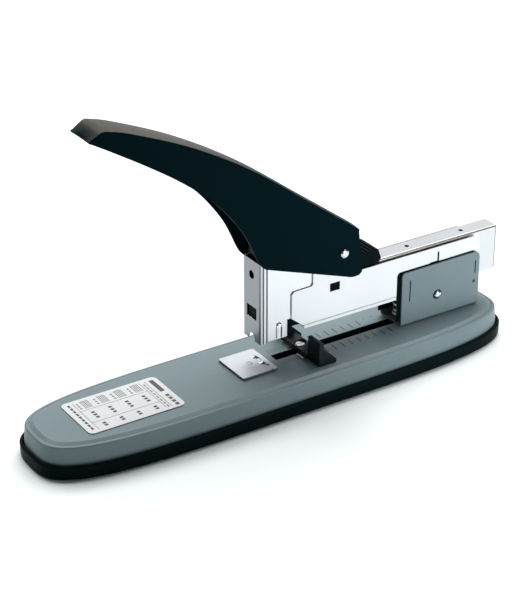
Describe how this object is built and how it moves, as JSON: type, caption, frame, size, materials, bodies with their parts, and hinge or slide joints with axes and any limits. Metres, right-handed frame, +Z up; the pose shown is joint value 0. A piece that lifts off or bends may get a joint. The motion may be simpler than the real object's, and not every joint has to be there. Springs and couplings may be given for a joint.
{
  "type": "long reach stapler",
  "caption": "Heavy-duty long reach stapler: sprung arm with a tall curved lever handle over a long oval base with a sliding paper guide.",
  "frame": {"origin": "centre of the base's outline, on the surface that the rubber feet stand on", "axes": "+X from the nose of the base to its rear, +Y to the far side, +Z up"},
  "size_m": [0.2898, 0.0648, 0.1732],
  "materials": {
    "grey_paint": "satin grey stove enamel",
    "black_paint": "satin black stove enamel",
    "black_plastic": "fine-grained moulded plastic",
    "rubber": "matt",
    "nickel_plate": "bright nickel plate",
    "steel": "zinc-plated steel",
    "label_paper": "printed film"
  },
  "bodies": {
    "base": {"base_tray": "black_plastic", "rubber_foot_1": "rubber", "rubber_foot_2": "rubber", "rubber_foot_3": "rubber", "rubber_foot_4": "rubber", "base_shell": "grey_paint", "label": "label_paper", "anvil_plate": "nickel_plate", "anvil_rivet": "steel", "rear_bracket": "grey_paint", "bracket_rivet_1": "steel", "bracket_rivet_2": "steel", "bracket_rivet_3": "steel", "bracket_rivet_4": "steel", "main_pivot_pin": "steel", "return_spring": "steel"},
    "guide": {"paper_guide": "black_plastic", "guide_plate": "steel", "guide_screw": "steel", "guide_nut": "steel"},
    "arm": {"core_rail": "nickel_plate", "side_plate_near": "nickel_plate", "side_plate_far": "nickel_plate", "head_plate_near": "nickel_plate", "head_plate_far": "nickel_plate", "head_cover": "nickel_plate", "bottom_rail": "nickel_plate", "handle_rivet": "steel", "handle_spacer": "steel", "pivot_spacer": "steel", "spring_bridge": "steel", "spring_rod": "steel", "rod_block": "steel", "follower_spring": "steel", "handle_spring": "steel"},
    "follower": {"follower": "black_plastic", "inner_pusher": "black_plastic", "follower_pin": "steel"},
    "driver": {"driver_blade": "steel", "driver_block": "steel"},
    "handle": {"handle_shell": "black_paint", "press_fork": "black_paint", "press_roller": "steel", "roller_pin": "steel"}
  },
  "joints": [
    {"name": "arm_pivot", "type": "hinge", "parent": "base", "child": "arm", "pos_m": [0.1013, 0, 0.0322], "axis": [0, -1, 0], "range_deg": [0, 6.5], "stiffness_Nm_per_rad": 0.8, "springref_deg": -40.11, "deforming": ["return_spring"]},
    {"name": "handle_pivot", "type": "hinge", "parent": "arm", "child": "handle", "pos_m": [0.037, 0, 0.0743], "axis": [0, -1, 0], "range_deg": [0, 38], "stiffness_Nm_per_rad": 0.3, "springref_deg": -51.57, "deforming": ["handle_spring"]},
    {"name": "driver_slide", "type": "slide", "parent": "arm", "child": "driver", "axis": [0, 0, -1], "range_m": [0, 0.0285]},
    {"name": "follower_slide", "type": "slide", "parent": "arm", "child": "follower", "axis": [1, 0, 0], "range_m": [0, 0.078], "stiffness_N_per_m": 60, "springref_m": -0.03, "deforming": ["follower_spring"]},
    {"name": "guide_slide", "type": "slide", "parent": "base", "child": "guide", "axis": [1, 0, 0], "range_m": [-0.012, 0.048]}
  ],
  "couplings": [
    {"joint": "driver_slide", "follows": "handle_pivot", "m_per_rad": 0.04267}
  ]
}
